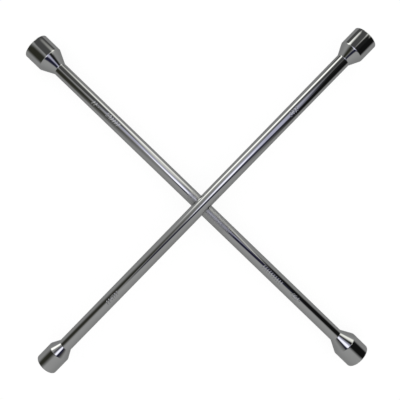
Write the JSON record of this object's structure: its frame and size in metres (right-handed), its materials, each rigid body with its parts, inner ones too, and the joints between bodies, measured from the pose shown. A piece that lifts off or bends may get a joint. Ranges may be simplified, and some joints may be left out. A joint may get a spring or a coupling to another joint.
{
  "type": "lug wrench",
  "caption": "Four-way lug wrench: crossed round chrome bars welded at the middle, with a hexagonal wheel nut socket of a different size on each end.",
  "frame": {"origin": "centre of the crossing, midway between the axes of the two bars", "axes": "+X along the under bar towards the 22 mm socket, +Y along the over bar towards the 19 mm socket, +Z from the under bar to the over bar"},
  "size_m": [0.508, 0.508, 0.0427],
  "materials": {
    "bar_chrome": "bright chrome plate with faint drawing lines and handling scuffs",
    "socket_chrome": "bright chrome plate over turned steel, dull inside the recess",
    "weld": "plated weld metal, satin and rippled"
  },
  "bodies": {
    "root": {"under_bar": "bar_chrome", "over_bar": "bar_chrome", "centre_weld": "weld", "socket_17mm": "socket_chrome", "socket_19mm": "socket_chrome", "socket_21mm": "socket_chrome", "socket_22mm": "socket_chrome"}
  },
  "joints": []
}
